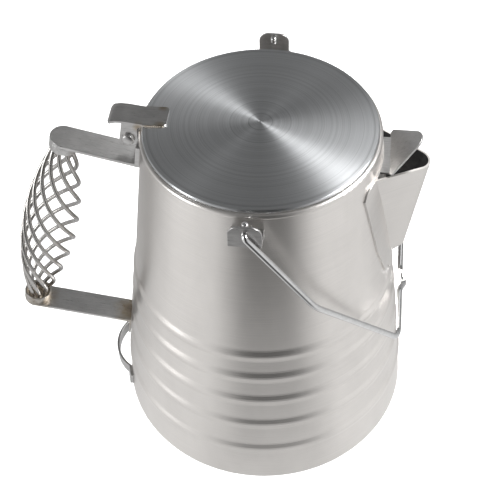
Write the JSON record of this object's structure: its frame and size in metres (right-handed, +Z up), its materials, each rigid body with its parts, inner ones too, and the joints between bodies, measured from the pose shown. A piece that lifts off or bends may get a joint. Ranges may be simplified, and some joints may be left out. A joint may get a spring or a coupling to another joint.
{
  "type": "coffee percolator",
  "caption": "Tapered steel camp coffee percolator with wire-cage side handle, swinging bail, V spout, hinged flat lid and lift-out pump and basket.",
  "frame": {"origin": "centre of the base, on the surface the pot stands on", "axes": "+Z up along the pot's axis, +X towards the spout, -X towards the side handle, the bail turns about Y"},
  "size_m": [0.2295, 0.1656, 0.2043],
  "materials": {
    "pot_steel": "satin brushed round the pot",
    "lid_steel": "turned in fine rings",
    "fitting_steel": "satin, heat tint at the welds",
    "wire_steel": "satin drawn wire",
    "bail_steel": "polished wire",
    "inner_steel": "bright satin"
  },
  "bodies": {
    "pot": {"body_shell": "pot_steel", "base_plate": "pot_steel", "spout_channel": "pot_steel", "spout_flange": "pot_steel", "spout_guard": "fitting_steel", "upper_strap": "fitting_steel", "lower_strap": "fitting_steel", "upper_grip_cup": "fitting_steel", "lower_grip_cup": "fitting_steel", "grip_wire_1": "wire_steel", "grip_wire_2": "wire_steel", "grip_wire_3": "wire_steel", "grip_wire_4": "wire_steel", "grip_wire_5": "wire_steel", "grip_wire_6": "wire_steel", "grip_wire_7": "wire_steel", "grip_wire_8": "wire_steel", "hinge_knuckle": "fitting_steel", "near_bail_lug": "fitting_steel", "far_bail_lug": "fitting_steel", "tilt_loop": "fitting_steel"},
    "lid": {"lid_top": "lid_steel", "lid_skirt": "inner_steel", "thumb_lever": "fitting_steel", "hinge_pin": "bail_steel"},
    "bail": {"bail_wire": "bail_steel"},
    "pump": {"pump_tube": "inner_steel", "pump_bell": "inner_steel", "basket_stop": "inner_steel"},
    "basket": {"coffee_basket": "inner_steel"},
    "spreader": {"basket_spreader": "inner_steel"}
  },
  "joints": [
    {"name": "lid_hinge", "type": "hinge", "parent": "pot", "child": "lid", "pos_m": [-0.0657, 0, 0.193], "axis": [0, -1, 0], "range_deg": [0, 92]},
    {"name": "bail_swing", "type": "hinge", "parent": "pot", "child": "bail", "pos_m": [0, 0, 0.1986], "axis": [0, -1, 0], "range_deg": [0, 246]},
    {"name": "pump_lift", "type": "slide", "parent": "pot", "child": "pump", "axis": [0, 0, 1], "range_m": [0, 0.006]},
    {"name": "basket_lift", "type": "slide", "parent": "pump", "child": "basket", "axis": [0, 0, 1], "range_m": [0, 0.006]},
    {"name": "spreader_lift", "type": "slide", "parent": "basket", "child": "spreader", "axis": [0, 0, 1], "range_m": [0, 0.006]}
  ]
}
